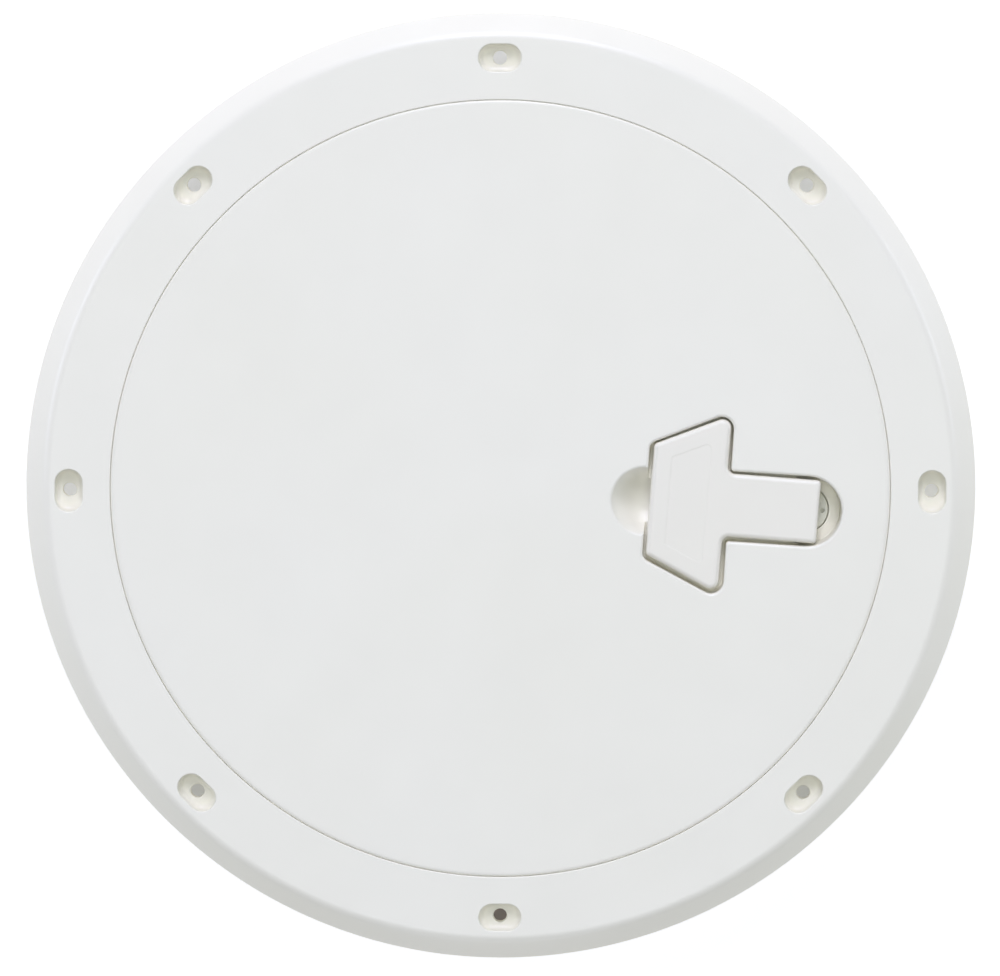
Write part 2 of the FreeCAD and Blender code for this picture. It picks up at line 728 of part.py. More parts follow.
def main():
    pieces = {
        "frame_ring": frame_ring(),
        "lid_panel": lid_panel(),
        "lid_seal": lid_seal(),
        "pull_handle": pull_handle(),
        "handle_pin": handle_pin(),
        "latch_spindle": latch_spindle(),
        "spindle_seal": spindle_seal(),
        "spring_washer": spring_washer(),
        "latch_cam": latch_cam(),
        "cam_washer": cam_washer(),
        "cam_screw": cam_screw(),
    }
    screw_number = 0
    for number, bearing in enumerate(hook_places(), start=1):
        pieces[f"far_hook_{number}"] = far_hook(bearing)
        for radius in hook_screw_radii():
            screw_number += 1
            pieces[f"hook_screw_{screw_number}"] = hook_screw(bearing, radius)
    os.makedirs("parts", exist_ok=True)
    for name, shape in pieces.items():
        shape.exportStep(f"parts/{name}.step")
        print(name, len(shape.Solids), shape.isValid(), round(shape.Volume))


main()
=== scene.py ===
# %% [markdown]
# # Deck inspection plate
# A round white hatch for a boat's deck: a moulded frame ring with eight screw recesses, a lid that
# drops flush into it, and a T-handle that folds into a pocket of the lid. The solids come from the
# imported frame. This script gives each of them its finish, adds the fine pieces, and sets the light
# and the camera as in the product photograph.

# %% Load the frame
import json
import math

import bmesh
import bpy
import numpy as np
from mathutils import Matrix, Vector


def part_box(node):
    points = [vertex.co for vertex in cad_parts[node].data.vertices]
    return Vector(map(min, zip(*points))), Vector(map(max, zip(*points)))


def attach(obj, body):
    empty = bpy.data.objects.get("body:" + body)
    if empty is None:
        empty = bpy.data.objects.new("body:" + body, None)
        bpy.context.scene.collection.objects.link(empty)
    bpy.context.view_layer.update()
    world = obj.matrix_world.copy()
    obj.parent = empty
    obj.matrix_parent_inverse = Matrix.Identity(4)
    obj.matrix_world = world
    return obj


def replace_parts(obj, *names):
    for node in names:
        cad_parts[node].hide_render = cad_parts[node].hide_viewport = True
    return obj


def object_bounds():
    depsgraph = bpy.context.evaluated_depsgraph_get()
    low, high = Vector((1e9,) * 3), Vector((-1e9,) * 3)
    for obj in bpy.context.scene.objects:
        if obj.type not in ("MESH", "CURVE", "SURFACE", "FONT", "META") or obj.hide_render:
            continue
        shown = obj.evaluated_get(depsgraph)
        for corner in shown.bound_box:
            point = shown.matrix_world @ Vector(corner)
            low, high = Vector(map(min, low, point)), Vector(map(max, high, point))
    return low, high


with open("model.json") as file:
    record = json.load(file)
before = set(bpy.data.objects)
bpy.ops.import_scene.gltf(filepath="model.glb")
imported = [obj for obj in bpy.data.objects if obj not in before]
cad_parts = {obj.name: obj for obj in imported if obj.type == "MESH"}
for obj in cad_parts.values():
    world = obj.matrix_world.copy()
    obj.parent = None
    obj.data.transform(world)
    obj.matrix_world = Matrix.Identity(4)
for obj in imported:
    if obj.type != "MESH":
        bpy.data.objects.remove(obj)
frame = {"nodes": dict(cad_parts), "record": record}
cad_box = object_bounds()
nodes = frame["nodes"]
print("nodes", len(nodes), "box in mm", [round(1000 * v, 1) for corner in cad_box for v in corner])

# %% [markdown]
# Colours are given as they look on a screen, from 0 to 255, but shaders work in linear light. A
# small function turns the one into the other, so that the values below stay readable.

# %% Colour from screen values


def screen_colour(red, green, blue):
    """Linear colour from screen values: ((c + 0.055) / 1.055) ** 2.4 for c above 0.04045."""
    c = np.array([red, green, blue]) / 255.0
    linear = np.where(c > 0.04045, ((c + 0.055) / 1.055) ** 2.4, c / 12.92)
    return (*[float(v) for v in linear], 1.0)


print("screen value 128 is", round(screen_colour(128, 128, 128)[0], 3), "in linear light")

# %% [markdown]
# A material is a tree of nodes, and the same few come up in each: noise on the piece's own
# coordinates, a range for it, a mix of two colours and a bump. Each kind gets a helper, so that a
# material further down reads as a list of what its surface shows.

# %% Helpers for material nodes


def new_material(name):
    """Material, its node tree, and the Principled shader in that tree."""
    material = bpy.data.materials.new(name)
    material.use_nodes = True
    tree = material.node_tree
    shader = next(n for n in tree.nodes if n.type == "BSDF_PRINCIPLED")
    return material, tree, shader


def object_coordinates(tree):
    """Place on the piece in its own metres, which goes with the piece when it moves."""
    return tree.nodes.new("ShaderNodeTexCoord").outputs["Object"]


def noise(tree, coordinates, scale, detail=3.0, roughness=0.5):
    """Noise texture on coordinates, scale in waves per metre."""
    texture = tree.nodes.new("ShaderNodeTexNoise")
    texture.inputs["Scale"].default_value = scale
    texture.inputs["Detail"].default_value = detail
    texture.inputs["Roughness"].default_value = roughness
    tree.links.new(coordinates, texture.inputs["Vector"])
    return texture.outputs["Fac"]


def ranged(tree, value, low, high, to_low, to_high):
    """Value from low..high spread over to_low..to_high, and no further."""
    node = tree.nodes.new("ShaderNodeMapRange")
    for name, number in zip(("From Min", "From Max", "To Min", "To Max"),
                            (low, high, to_low, to_high)):
        node.inputs[name].default_value = number
    tree.links.new(value, node.inputs["Value"])
    return node.outputs["Result"]


def mixed(tree, factor, first, second):
    """Colour from first, at factor 0, to second, at 1. First may be another node's output."""
    node = tree.nodes.new("ShaderNodeMix")
    node.data_type = "RGBA"
    if isinstance(first, bpy.types.NodeSocket):
        tree.links.new(first, node.inputs["A"])
    else:
        node.inputs["A"].default_value = first
    node.inputs["B"].default_value = second
    tree.links.new(factor, node.inputs["Factor"])
    return node.outputs["Result"]


def bumped(tree, shader, height, distance):
    """Bump on the shader, from a height between 0 and 1 that stands for distance metres."""
    node = tree.nodes.new("ShaderNodeBump")
    node.inputs["Distance"].default_value = distance
    tree.links.new(height, node.inputs["Height"])
    tree.links.new(node.outputs["Normal"], shader.inputs["Normal"])


# %% [markdown]
# All the white pieces are the same weatherproof plastic from one mould shop. It is nearly white
# with a satin skin: broad soft reflections, a very fine grain from the mould, and here and there a
# faint cloud in the gloss. One function builds it. Rubber and nylon are moulded too, so they come
# from it with other colours and less gloss, and the dark ones with a coarser grain.

# %% Moulded plastic
CLOUD_SCALE, PATCH_SCALE, GRAIN_SCALE = 9.0, 45.0, 2600.0
CLOUD_RANGE, PATCH_RANGE = (0.35, 0.65), (0.3, 0.7)
PATCH_GLOSSIER, PATCH_DULLER = 0.05, 0.07
FINE_GRAIN, COARSE_GRAIN = 0.000012, 0.00003
PLASTIC_IOR = 1.5


def moulded_plastic(name, bright, dull, roughness=0.36, grain_height=FINE_GRAIN):
    """Satin moulded plastic: cloudy colour, cloudy gloss, and a fine mould grain as bump."""
    material, tree, shader = new_material(name)
    where = object_coordinates(tree)
    clouds = noise(tree, where, CLOUD_SCALE)
    colour = mixed(tree, ranged(tree, clouds, *CLOUD_RANGE, 0.0, 1.0), bright, dull)
    tree.links.new(colour, shader.inputs["Base Color"])
    patches = noise(tree, where, PATCH_SCALE, detail=5.0, roughness=0.6)
    tree.links.new(ranged(tree, patches, *PATCH_RANGE,
                          roughness - PATCH_GLOSSIER, roughness + PATCH_DULLER),
                   shader.inputs["Roughness"])
    bumped(tree, shader, noise(tree, where, GRAIN_SCALE, detail=2.0), grain_height)
    shader.inputs["IOR"].default_value = PLASTIC_IOR
    return material


plastic_white = screen_colour(240, 236, 219), screen_colour(239, 235, 217)
finishes = {
    "white_frame": moulded_plastic("frame_plastic", *plastic_white),
    "white_lid": moulded_plastic("lid_plastic", *plastic_white),
    "white_handle": moulded_plastic(
        "handle_plastic", screen_colour(238, 233, 216), screen_colour(237, 232, 214),
        roughness=0.33),
    "white_nylon": moulded_plastic(
        "spindle_nylon", screen_colour(226, 225, 208), screen_colour(218, 217, 199),
        roughness=0.42),
    "grey_nylon": moulded_plastic(
        "cam_nylon", screen_colour(92, 94, 96), screen_colour(78, 80, 83),
        roughness=0.5, grain_height=COARSE_GRAIN),
    "seal_rubber": moulded_plastic(
        "seal_rubber", screen_colour(44, 44, 45), screen_colour(36, 36, 37),
        roughness=0.68, grain_height=COARSE_GRAIN),
}
print("moulded finishes", ", ".join(finishes))

# %% [markdown]
# The pin, washers and screws are stainless steel. It is a metal with a fairly soft reflection, and
# turning or rolling leaves fine lines. Here they are a noise pressed flat along the Z axis, which
# is the axis of screws and washers, so that the lines run round them.

# %% Stainless steel
LINE_SCALE, LINE_SQUEEZE, LINE_DEPTH = 900.0, 14.0, 0.000004
LINE_RANGE, LINE_ROUGHNESS = (0.3, 0.7), (0.24, 0.38)
STEEL_BRIGHT, STEEL_DULL = screen_colour(200, 199, 196), screen_colour(176, 176, 174)


def stainless(name):
    """Plain stainless steel with fine lines in its colour, roughness and bump."""
    material, tree, shader = new_material(name)
    shader.inputs["Metallic"].default_value = 1.0
    where = object_coordinates(tree)
    squeezed = tree.nodes.new("ShaderNodeMapping")
    squeezed.inputs["Scale"].default_value = (1.0, 1.0, LINE_SQUEEZE)
    tree.links.new(where, squeezed.inputs["Vector"])
    lines = noise(tree, squeezed.outputs["Vector"], LINE_SCALE, detail=4.0)
    tree.links.new(mixed(tree, lines, STEEL_BRIGHT, STEEL_DULL), shader.inputs["Base Color"])
    tree.links.new(ranged(tree, lines, *LINE_RANGE, *LINE_ROUGHNESS), shader.inputs["Roughness"])
    bumped(tree, shader, lines, LINE_DEPTH)
    return material


finishes["stainless"] = stainless("stainless_steel")
print("metal finish stainless, lines about", round(1000 / LINE_SCALE / LINE_SQUEEZE, 2),
      "mm apart")

# %% [markdown]
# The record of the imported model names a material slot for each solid. Solids that only need a
# better finish keep their mesh and take the finish of their slot.

# %% Give every solid its finish
slots = {part["node"]: part["material_slot"] for part in frame["record"]["subparts"]}
for name, piece in nodes.items():
    finish = finishes[slots[name]]
    if piece.data.materials:
        piece.data.materials[0] = finish
    else:
        piece.data.materials.append(finish)
    print(name, "in", slots[name])

# %% [markdown]
# The fine pieces are new surfaces. Each is a grid of points that numpy works out as one array:
# rows run along a profile, columns run round it. A helper turns such a grid into a closed mesh,
# gives it a finish, and makes it ride on its body. Working in whole arrays keeps the shape in
# one formula, so that a change of pitch or depth moves every point at once.

# %% Mesh from a grid of points
SHARP_ANGLE = math.radians(38)


def grid_faces(rows, columns, poles):
    """Corner numbers of the faces of a grid whose columns close into a ring.

    With poles, the first and last rows shrink to a point each; without them, the last row is
    joined to the first."""
    number = np.arange(rows * columns).reshape(rows, columns)
    if poles:
        number[[0, -1]] = number[[0, -1], :1]
    else:
        number = np.vstack([number, number[:1]])
    number = np.hstack([number, number[:, :1]])
    quads = np.stack([number[:-1, :-1], number[:-1, 1:], number[1:, 1:], number[1:, :-1]], -1)
    if not poles:
        return [quads.reshape(-1, 4)]
    ends = np.concatenate([quads[0][:, [0, 2, 3]], quads[-1][:, [0, 1, 2]]])
    return [quads[1:-1].reshape(-1, 4), ends]


def fine_piece(name, grids, finish, body, poles=True):
    """Piece from one or more grids of points (row, column, xyz) in metres."""
    vertices, faces, start = [], [], 0
    for points in grids:
        rows, columns = points.shape[:2]
        vertices.append(points.reshape(-1, 3))
        for corners in grid_faces(rows, columns, poles):
            faces += (start + corners).tolist()
        start += rows * columns
    mesh = bpy.data.meshes.new(name)
    mesh.from_pydata(np.concatenate(vertices).tolist(), [], faces)
    shell = bmesh.new()
    shell.from_mesh(mesh)
    bmesh.ops.delete(shell, geom=[v for v in shell.verts if not v.link_faces], context="VERTS")
    volume = shell.calc_volume(signed=True)
    shell.to_mesh(mesh)
    shell.free()
    mesh.polygons.foreach_set("use_smooth", np.ones(len(mesh.polygons), dtype=bool))
    mesh.set_sharp_from_angle(angle=SHARP_ANGLE)
    piece = bpy.data.objects.new(name, mesh)
    bpy.context.scene.collection.objects.link(piece)
    mesh.materials.append(finishes[finish])
    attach(piece, body)
    print(name, len(mesh.polygons), "faces,", round(1e9 * volume), "cubic mm")
    return piece


# %% [markdown]
# Four screws hold the hooks and one holds the cam. The solids keep them plain: a shank and a domed
# head. The real ones have a rolled thread and a cross recess. A thread could be built from a swept
# profile, but on a screw this small it is simplest as a height on the shank: the radius depends
# only on how far round and how far along a point is. The cross is done with the same grid, whose
# first rows follow the outline of the cross, so its edges stay crisp.

# %% Outline of the cross and height of the thread
TURN_STEPS = 72
WING_HALF_ANGLE = math.radians(15)
turns = np.arange(TURN_STEPS) * 2 * math.pi / TURN_STEPS


def cross_outline(reach):
    """Distance from the middle to a cross's edge: the wing's end, or its side, by the turn."""
    off_wing = np.abs((turns + math.pi / 4) % (math.pi / 2) - math.pi / 4)
    half_width = reach * math.tan(WING_HALF_ANGLE)
    end = reach / np.cos(off_wing)
    side = half_width / np.sin(np.maximum(off_wing, WING_HALF_ANGLE))
    return np.where(off_wing < WING_HALF_ANGLE + 1e-6, end, side)


def thread_height(along, pitch, flank):
    """1 on the thread's crest and 0 on the core: a ridge where length and turn are in step."""
    phase = (along / pitch - turns / (2 * math.pi)) % 1.0
    return np.clip(1.0 - np.abs(phase - 0.5) / flank, 0.0, 1.0)


print("turn steps", TURN_STEPS, "narrowest cross", round(float(cross_outline(1.0).min()), 2))

# %% [markdown]
# The two formulas go into one grid for the whole screw, from the floor of the cross over the head
# and down the thread to the tip. The numbers here are shares, of the head's height, the cross's
# width or the thread's pitch, so the same grid serves both sizes of screw.

# %% Grid of a screw
HEAD_ROUNDING = 0.7
CROSS_FLOOR_WIDTH = 0.78
CROSS_DEPTH, CROSS_RISE, CROSS_MOUTH_DEPTH = 0.75, 0.15, 0.04
CROSS_ROWS, FACE_ROWS, EDGE_ROWS, ROWS_PER_TURN = 5, 5, 9, 12
TIP_TURNS, TIP_START = 2.2, 0.25
GROWING_TURNS = 2


def screw_grid(low, high, spin, head_height, crest, core, pitch, flank, recess):
    """Screw that points up, in its solid's box from low to high; spin turns its cross.

    Rows, as (radius, height) by turn: recess floor, recess wall, head's face, its rounded edge,
    its bearing face, the threaded shank, and the tip, where the radius falls off to a point.
    crest, core and recess are radii, and flank is the thread's half width in pitches."""
    x, y = (low[0] + high[0]) / 2, (low[1] + high[1]) / 2
    head = (high[0] - low[0]) / 2
    face, seat, end = low[2], low[2] + head_height, high[2]
    rounding = HEAD_ROUNDING * head_height
    mouth = cross_outline(recess)
    floor = cross_outline(CROSS_FLOOR_WIDTH * recess)
    level = np.ones(TURN_STEPS)
    rows = []
    for share in np.linspace(0, 1, CROSS_ROWS):
        depth = (CROSS_DEPTH - CROSS_RISE * share) * head_height
        rows.append((share * floor, (face + depth) * level))
    rows.append((mouth, (face + CROSS_MOUTH_DEPTH * head_height) * level))
    for share in np.linspace(0, 1, FACE_ROWS):
        edge = share * (head - rounding) + (1 - share) * mouth
        rows.append((np.maximum(edge, mouth), face * level))
    for angle in np.linspace(0, math.pi / 2, EDGE_ROWS)[1:]:
        rows.append(((head - rounding * (1 - math.sin(angle))) * level,
                     (face + rounding * (1 - math.cos(angle))) * level))
    rows.append((head * level, seat * level))
    rows.append((core * level, seat * level))
    step = pitch / ROWS_PER_TURN
    for height in np.arange(seat + pitch / 2, end - step, step):
        taper = min(1.0, (end - height) / (TIP_TURNS * pitch) + TIP_START)
        grown = min(1.0, (height - seat) / (GROWING_TURNS * pitch))
        thread = (crest - core) * thread_height(height, pitch, flank) * grown
        rows.append(((core + thread) * taper, height * level))
    rows.append((0 * level, end * level))
    radius, height = (np.array(part) for part in zip(*rows))
    return np.stack([x + radius * np.cos(turns + spin), y + radius * np.sin(turns + spin),
                     height], -1)


print("a turn of thread takes", ROWS_PER_TURN, "rows of", TURN_STEPS, "points")

# %% [markdown]
# The hooks' screws cut their own way into the plastic: a coarse thread, far apart on a thin core.
# The cam's screw is a machine screw, with a fine thread whose ridges touch. Their crosses stand at
# odd turns, as a screwdriver leaves them.

# %% Screws in place of the plain ones
HOOK_SCREW = {"head_height": 0.0022, "crest": 0.00172, "core": 0.00128, "pitch": 0.0013,
              "flank": 0.24, "recess": 0.0019}
CAM_SCREW = {"head_height": 0.0028, "crest": 0.00197, "core": 0.0016, "pitch": 0.0007,
             "flank": 0.5, "recess": 0.0024}
HOOK_SPINS, CAM_SPIN = (0.3, 1.1, 0.8, 0.1), 0.6


def threaded_screw(node, spin, sizes):
    """Screw with thread and cross in the box of the plain one, which it replaces."""
    low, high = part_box(node)
    grid = screw_grid(low, high, spin, **sizes)
    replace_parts(fine_piece(node + "_threaded", [grid], "stainless", "lid"), node)


for number, spin in enumerate(HOOK_SPINS, start=1):
    threaded_screw(f"hook_screw_{number}", spin, HOOK_SCREW)
threaded_screw("cam_screw", CAM_SPIN, CAM_SCREW)

# %% [markdown]
# The seal, the edges of the seam and the bevel are all rings: a closed outline of a section,
# carried once round the plate's axis. One function makes them, and each ring below only draws its
# own section.

# %% Ring from a section


def section_ring(name, section, finish, body, steps, drift=0.0):
    """Closed section of (radius, height), anticlockwise, carried once round the Z axis.

    The radius gains drift times the sine of the turn, so the ring lies that far towards +Y."""
    turn = np.arange(steps) * 2 * math.pi / steps
    reach = section[:, :1] + drift * np.sin(turn)
    grid = np.stack([reach * np.cos(turn), reach * np.sin(turn),
                     np.broadcast_to(section[:, 1:], (len(section), steps))], -1)
    return fine_piece(name, [grid], finish, body, poles=False)


print("plate radius", round(1000 * cad_box[1].x, 2), "mm")

# %% [markdown]
# The seal under the lid's rim is a soft black ring. A real one doesn't meet the ledge with a
# plain round foot: it has two lips with a channel between them, so that it still seals where the
# ledge isn't quite level. Its section is a closed curve, carried once round the lid. The ring
# fills its solid's place and stays inside its box.

# %% Seal
SEAL_WIDTH, SEAL_HEIGHT, SEAL_ROUND = 0.0045, 0.0035, 0.0014
CHANNEL_DEPTH, CHANNEL_WIDTH = 0.0009, 0.00062
FOOT_POINTS, SIDE_POINTS, TOP_POINTS, SEAL_STEPS = 41, 6, 9, 384


def seal_section():
    """Section as (across, up) from the seal's lower middle, going up the outer side.

    The foot is a level line with round ends, raised in the middle by a bell curve: the channel.
    Up the outer side, along the top and down the inner side it is straight."""
    across = SEAL_WIDTH / 2 * np.sin(np.linspace(-1, 1, FOOT_POINTS) * math.pi / 2)
    over = np.clip(np.abs(across) - (SEAL_WIDTH / 2 - SEAL_ROUND), 0, SEAL_ROUND)
    foot = SEAL_ROUND - np.sqrt(SEAL_ROUND ** 2 - over ** 2)
    foot += CHANNEL_DEPTH * np.exp(-(across / CHANNEL_WIDTH) ** 2)
    side = np.linspace(SEAL_ROUND, SEAL_HEIGHT, SIDE_POINTS)[1:]
    top = np.linspace(SEAL_WIDTH / 2, -SEAL_WIDTH / 2, TOP_POINTS)[1:-1]
    half = np.full(len(side), SEAL_WIDTH / 2)
    level = np.full(len(top), SEAL_HEIGHT)
    return (np.concatenate([across, half, top, -half]),
            np.concatenate([foot, side, level, side[::-1]]))


low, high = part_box("lid_seal")
middle_radius = (high[0] - low[0]) / 2 - SEAL_WIDTH / 2
across, up = seal_section()
lip_seal = section_ring("lip_seal", np.stack([middle_radius + across, low[2] + up], -1),
                        "seal_rubber", "lid", SEAL_STEPS)
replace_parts(lip_seal, "lid_seal")

# %% [markdown]
# Turned over, a moulding shows how it was made. Round pins push it out of the mould and each
# leaves a faint ring, and the plastic came in at the middle of the lid, where the stub was cut
# off. The marks are shallow raised rings, 0.1 mm high, between the ribs of the lid and of the
# frame. They could be bump in the material, but as thin surfaces they stay in the kept meshes.

# %% Shape of a mould mark
MARK_RADIUS, MARK_HEIGHT, MARK_STEPS = 0.003, 0.0001, 40
MARK_REACH = np.array([0, 0.5, 0.86, 0.9, 0.97, 1.0, 1.0, 0.5, 0])
MARK_DROP = np.array([0.15, 0.15, 0.15, 1.0, 1.0, 0.6])
MARK_SUNK = 0.0001


def mark_grid(x, y, level, radius=MARK_RADIUS, height=MARK_HEIGHT):
    """Thin disc under a level face: its lower side is flat with a rim, its top is in the face.

    Rows lie at MARK_REACH times the radius. The first ones, of the lower side, are MARK_DROP times
    the height under the face, and the others, of the top, MARK_SUNK above it in the plastic."""
    drop = np.full(len(MARK_REACH), -MARK_SUNK)
    drop[:len(MARK_DROP)] = height * MARK_DROP
    turn = np.arange(MARK_STEPS) * 2 * math.pi / MARK_STEPS
    reach = radius * MARK_REACH[:, None]
    return np.stack([x + reach * np.cos(turn), y + reach * np.sin(turn),
                     np.broadcast_to((level - drop)[:, None], (len(drop), MARK_STEPS))], -1)


print("a mark is", 2000 * MARK_RADIUS, "mm across and", 1000 * MARK_HEIGHT, "mm high")

# %% [markdown]
# The pins press on plain wall between the ribs. The lid has two marks in each of eleven bays, for
# the twelfth holds the latch, and the frame has one in each of its eight bays. The gate mark is a
# smaller and higher disc, where the lid's ribs cross in the middle.

# %% Mould marks on lid and frame
LID_UNDERSIDE, RIB_BOTTOM, FLANGE_UNDERSIDE = 0.005, -0.001, 0.006
LID_BAYS, LID_BAY_ANGLE, LID_BAY_TURN = range(1, 12), 30, -3.7
LID_MARK_REACHES = (0.054, 0.104)
FRAME_BAYS, FRAME_BAY_ANGLE, FRAME_BAY_TURN = range(8), 45, 22.5
FRAME_MARK_REACH = 0.168
GATE_RADIUS, GATE_HEIGHT = 0.0024, 0.0006


def bay_mark(bearing, reach, level):
    """Mark at reach from the plate's axis, in the bay between ribs at bearing, in degrees."""
    turn = math.radians(bearing)
    return mark_grid(reach * math.cos(turn), reach * math.sin(turn), level)


lid_marks = [bay_mark(LID_BAY_ANGLE * bay + LID_BAY_TURN, reach, LID_UNDERSIDE)
             for bay in LID_BAYS for reach in LID_MARK_REACHES]
lid_marks.append(mark_grid(0.0, 0.0, RIB_BOTTOM, GATE_RADIUS, GATE_HEIGHT))
fine_piece("lid_mould_marks", lid_marks, "white_lid", "lid")
frame_marks = [bay_mark(FRAME_BAY_ANGLE * bay + FRAME_BAY_TURN, FRAME_MARK_REACH, FLANGE_UNDERSIDE)
               for bay in FRAME_BAYS]
fine_piece("frame_mould_marks", frame_marks, "white_frame", "frame")

# %% [markdown]
# The seam between lid and frame is a hairline. The solids' round edges are made of flats about
# 8 mm long, which would turn a line this fine into dashes, and the solids keep a wide running
# gap. Two smooth rings lie over the edges: the lid's soft shoulder and the frame's crisper one.
# Each is a section carried round in 1440 steps. The sections leave the level face at a tangent,
# so no edge shows, and end inside the plastic. A lid never rests quite in the middle: its ring
# lies 0.04 mm further up the picture, so the line is finer there than along the bottom.

# %% Seam edges
SEAM_STEPS = 1440
FACE = 0.009
LID_REACH, LID_DRIFT = 0.1536, 0.00004
LID_SHOULDER_WIDTH, LID_SHOULDER_DEPTH = 0.00165, 0.0008
FRAME_REACH, FRAME_SHOULDER = 0.15367, 0.0005
# Points of (radius, height) that close each section inside the plastic
LID_FOOT = [(0.1520, 0.0019), (0.15253, 0.0019)]
LID_BACK = [(0.1519, FACE - 0.000002), (0.1517, FACE - 0.0003)]
FRAME_BACK = [(0.1545, FACE - 0.0004), (0.15426, FACE - 0.000006)]
FRAME_FOOT = [(0.15372, 0.0064), (0.1545, 0.0062)]


def arc(middle, across, up, start, end, steps):
    """Points on an ellipse about middle, from start to end in degrees anticlockwise."""
    turn = np.radians(np.linspace(start, end, steps))
    return np.stack([middle[0] + across * np.cos(turn), middle[1] + up * np.sin(turn)], -1)


lid_shoulder = arc((LID_REACH - LID_SHOULDER_WIDTH, FACE - LID_SHOULDER_DEPTH),
                   LID_SHOULDER_WIDTH, LID_SHOULDER_DEPTH, start=0, end=90, steps=15)
section_ring("lid_shoulder", np.concatenate([LID_FOOT, lid_shoulder, LID_BACK]),
             "white_lid", "lid", SEAM_STEPS, LID_DRIFT)
frame_shoulder = arc((FRAME_REACH + FRAME_SHOULDER, FACE - FRAME_SHOULDER),
                     FRAME_SHOULDER, FRAME_SHOULDER, start=90, end=180, steps=11)
section_ring("frame_shoulder", np.concatenate([FRAME_BACK, frame_shoulder, FRAME_FOOT]),
             "white_frame", "frame", SEAM_STEPS)

# %% [markdown]
# The frame's outer bevel catches the light most, and its rounded upper edge carries a bright band.
# The flats of the solid would break that band into scallops, so a thin skin covers the bevel. It
# follows the solid's own section: a large rounding from the level face into the slope, the
# slope, and a small rounding into the upright rim. It lies a few thousandths of a millimetre over
# the solid, and its back is buried in the wall.

# %% Bevel
BEVEL_STEPS = 720
SKIN = 0.000003
BEVEL_WIDTH, BEVEL_DROP, RIM_HEIGHT = 0.0085, 0.0075, 0.0015
TOP_ROUND, RIM_ROUND = 0.0055, 0.0008
SKIN_FOOT = 0.0006
# Points of (radius, height) along the skin's buried back, from the face down to the rim
SKIN_BACK = [(0.1768, 0.0085), (0.1801, 0.0069), (0.1863, 0.0014)]
SKIN_BACK_FOOT = 0.1866
plate_radius = cad_box[1].x
slope = math.degrees(math.atan2(BEVEL_DROP, BEVEL_WIDTH))
top_middle = (plate_radius - BEVEL_WIDTH - TOP_ROUND * math.tan(math.radians(slope / 2)),
              FACE - TOP_ROUND - SKIN)
rim_middle = (plate_radius - RIM_ROUND - SKIN,
              RIM_HEIGHT - RIM_ROUND * math.tan(math.radians(45 - slope / 2)))
lower = arc(rim_middle, RIM_ROUND + SKIN, RIM_ROUND + SKIN, start=0, end=90 - slope, steps=7)
upper = arc(top_middle, TOP_ROUND + SKIN, TOP_ROUND + SKIN, start=90 - slope, end=90, steps=19)
section_ring("frame_bevel", np.concatenate([
    [(SKIN_BACK_FOOT, SKIN_FOOT), (plate_radius - SKIN, SKIN_FOOT)], lower, upper, SKIN_BACK]),
    "white_frame", "frame", BEVEL_STEPS)

# %% [markdown]
# The plate stands on its collar on a white light table, as for a catalogue. The glass glows, so
# the ground round the plate is plain white with no shadow. Under the plate lies a matt white card
# that lets only a little of the glow through, which is what the screw holes show. The card is
# lightest along the middle and greyer towards the far and near sides, which is painted shade, and
# has a brown spot below one hole, which is painted shade too. One material does it all: the
# distance from the middle, worked out from the floor's own coordinates, blends card into glass,
# and the distance from a point blends in the painted brown spot.

# %% Card on a light table
CARD_RADIUS, CARD_EDGE = 0.185, 0.002
CARD_GLOW, GLASS_GLOW = 0.08, 0.85
# The grey paper colour and its range are painted shade: the card darker towards the far and near
# sides under the plate.
PAPER_LIGHT, PAPER_PAINTED_SHADE = screen_colour(252, 252, 250), screen_colour(212, 212, 205)
PAINTED_SHADE_FROM, PAINTED_SHADE_TO = 0.02, 0.12
# The brown spot is painted shade: the dark under the plate's near edge, seen through the nearest
# screw hole.
SHADE_SPOT_INNER, SHADE_SPOT_OUTER, SHADE_SPOT_BROWN = 0.0048, 0.0056, screen_colour(104, 88, 72)
GLASS_GREY = (0.25, 0.25, 0.25, 1.0)
# The painted shade spot lies on the line from the camera through the nearest screw hole
HOLE_X, HOLE_Y, HOLE_HEIGHT, SIGHT_SLOPE = -0.0005, -0.1715, 0.0045, 0.184
floor_level = cad_box[0].z
shade_spot_place = (HOLE_X, HOLE_Y + SIGHT_SLOPE * (floor_level - HOLE_HEIGHT), floor_level)


def distance_from(tree, where, point):
    """Distance of a place from a point, both in metres."""
    node = tree.nodes.new("ShaderNodeVectorMath")
    node.operation = "DISTANCE"
    node.inputs[1].default_value = point
    tree.links.new(where, node.inputs[0])
    return node.outputs["Value"]


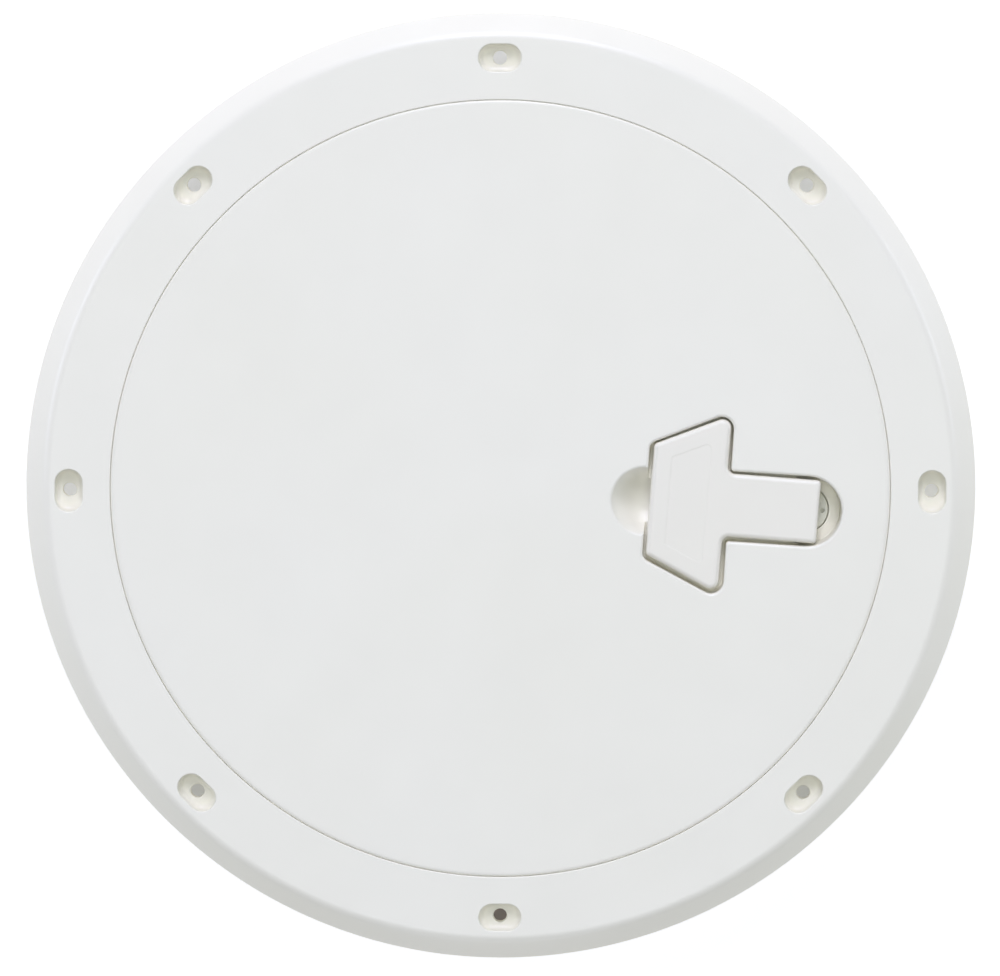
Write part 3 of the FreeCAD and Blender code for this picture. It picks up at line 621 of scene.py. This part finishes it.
def light_table(name):
    """Card inside CARD_RADIUS, glowing glass outside, blended over CARD_EDGE on each side."""
    material, tree, shader = new_material(name)
    where = object_coordinates(tree)
    middle = distance_from(tree, where, (0.0, 0.0, floor_level))
    glass = ranged(tree, middle, CARD_RADIUS - CARD_EDGE, CARD_RADIUS + CARD_EDGE, 0.0, 1.0)
    across = tree.nodes.new("ShaderNodeVectorMath")
    across.operation = "MULTIPLY"
    across.inputs[1].default_value = (0.0, 1.0, 0.0)
    tree.links.new(where, across.inputs[0])
    side = distance_from(tree, across.outputs["Vector"], (0.0, 0.0, 0.0))
    # Painted shade: the paper greys away from the middle line, towards the far and near sides.
    paper_with_painted_shade = mixed(tree, ranged(tree, side, PAINTED_SHADE_FROM, PAINTED_SHADE_TO, 0.0, 1.0), PAPER_LIGHT, PAPER_PAINTED_SHADE)
    # Painted shade: a brown spot on the card below the nearest screw hole.
    shade_spot = ranged(tree, distance_from(tree, where, shade_spot_place), SHADE_SPOT_INNER, SHADE_SPOT_OUTER,
                   1.0, 0.0)
    paper_and_shade_spot = mixed(tree, shade_spot, paper_with_painted_shade, SHADE_SPOT_BROWN)
    tree.links.new(mixed(tree, glass, paper_and_shade_spot, GLASS_GREY), shader.inputs["Base Color"])
    tree.links.new(ranged(tree, glass, 0.0, 1.0, CARD_GLOW, GLASS_GLOW),
                   shader.inputs["Emission Strength"])
    shader.inputs["Emission Color"].default_value = (1.0, 1.0, 1.0, 1.0)
    shader.inputs["Roughness"].default_value = 0.9
    shader.inputs["Specular IOR Level"].default_value = 0.1
    return material


print("card radius", round(1000 * CARD_RADIUS), "mm, stain at",
      [round(1000 * v, 1) for v in shade_spot_place])

# %% [markdown]
# The floor is one square, far wider than the picture, at the level of the collar's foot. It is
# no part of the plate.

# %% Floor
FLOOR_HALF = 3.0
corners = [(-FLOOR_HALF, -FLOOR_HALF), (FLOOR_HALF, -FLOOR_HALF),
           (FLOOR_HALF, FLOOR_HALF), (-FLOOR_HALF, FLOOR_HALF)]
floor_mesh = bpy.data.meshes.new("floor")
floor_mesh.from_pydata([(x, y, floor_level) for x, y in corners], [], [(0, 1, 2, 3)])
floor = bpy.data.objects.new("floor", floor_mesh)
bpy.context.scene.collection.objects.link(floor)
floor.data.materials.append(light_table("light_table"))
print("floor level", round(1000 * floor_level, 2), "mm")

# %% [markdown]
# The light is that of a white studio. A wide lamp overhead lights the level faces. Two soft key
# lamps stand beyond the top edge of the picture, one above the other: they brighten the far
# bevel and the lower walls of the recesses, and leave the near bevel and the upper walls in
# shade. Two lamps at the sides and a weak one low in front keep the other bevels from falling
# dark, and there is only a little light from all round, so that the recesses keep their depth.
# Each lamp's power was found by rendering with that lamp alone, and mixing the pictures until
# bevel, faces and recesses came out as bright as in the photograph. The lamps are a little cool
# and the plastic a little warm, so the faces come out neutral, while light that has bounced in
# the gaps turns brown.

# %% Light
SKY_COLOUR, SKY_STRENGTH = (0.85, 1.0, 1.38, 1.0), 0.118
KEY_COLOUR = (0.99, 1.0, 1.26)
world = bpy.data.worlds.new("studio")
world.use_nodes = True
sky = world.node_tree.nodes["Background"]
sky.inputs["Color"].default_value = SKY_COLOUR
sky.inputs["Strength"].default_value = SKY_STRENGTH
bpy.context.scene.world = world


def soft_lamp(name, place, size, power, colour):
    """Square lamp at place, size metres wide, pointing at the middle of the plate."""
    lamp = bpy.data.lights.new(name, "AREA")
    lamp.size = size
    lamp.energy = power
    lamp.color = colour
    holder = bpy.data.objects.new(name, lamp)
    bpy.context.scene.collection.objects.link(holder)
    holder.location = place
    holder.rotation_euler = (-holder.location).to_track_quat("-Z", "Y").to_euler()
    print(name, power, "W at", place)


soft_lamp("key_lamp", (0.0, 2.6, 2.6), 1.0, 32.0, KEY_COLOUR)
soft_lamp("low_key_lamp", (0.0, 3.6, 2.1), 0.8, 45.5, KEY_COLOUR)
soft_lamp("overhead_lamp", (0.0, -0.3, 3.2), 2.4, 34.8, (0.965, 1.0, 1.0))
soft_lamp("left_lamp", (-3.4, 0.9, 1.6), 1.8, 42.0, (0.945, 1.0, 1.24))
soft_lamp("right_lamp", (3.4, 0.9, 1.6), 1.8, 36.5, (0.93, 1.0, 1.20))
soft_lamp("near_lamp", (0.0, -4.2, 0.9), 1.4, 26.0, (1.01, 1.0, 1.15))
bpy.context.scene.view_settings.view_transform = "Standard"

# %% [markdown]
# The photograph looks down at the plate from a little towards the top of the picture, from far
# away with a long lens, so the round outline stays round. The plate's outer edge fixes the lens:
# it is PLATE_PIXELS wide in a picture of PHOTO_WIDTH. The camera aims at the middle of the lid,
# moved by what the plate sits off the picture's middle.

# %% Camera
PHOTO_WIDTH, PHOTO_HEIGHT = 1000, 976
PLATE_PIXELS = 949.5
LID_MIDDLE_PIXEL = (500.2, 491.4)
CAMERA_DISTANCE = 1.95
LEAN_RIGHT, LEAN_UP = math.radians(0.9), math.radians(5.5)
WIDEST_HEIGHT = 0.002
plate_width = cad_box[1].x - cad_box[0].x
face_height = cad_box[1].z
camera = bpy.data.cameras.new("camera")
camera.sensor_width = 36.0
pixel_focal = PLATE_PIXELS * (CAMERA_DISTANCE + face_height - WIDEST_HEIGHT) / plate_width
camera.lens = pixel_focal * camera.sensor_width / PHOTO_WIDTH
camera.clip_start, camera.clip_end = 0.05, 20.0
eye = bpy.data.objects.new("camera", camera)
bpy.context.scene.collection.objects.link(eye)
pixel_size = CAMERA_DISTANCE / pixel_focal
aim = ((PHOTO_WIDTH / 2 - LID_MIDDLE_PIXEL[0]) * pixel_size,
       (LID_MIDDLE_PIXEL[1] - PHOTO_HEIGHT / 2) * pixel_size, face_height)
eye.location = (aim[0] + CAMERA_DISTANCE * math.sin(LEAN_RIGHT),
                aim[1] + CAMERA_DISTANCE * math.sin(LEAN_UP),
                aim[2] + CAMERA_DISTANCE * math.cos(LEAN_UP) * math.cos(LEAN_RIGHT))
eye.rotation_euler = (-LEAN_UP, LEAN_RIGHT, 0.0)
bpy.context.scene.camera = eye
print("lens", round(camera.lens, 1), "mm")

# %% [markdown]
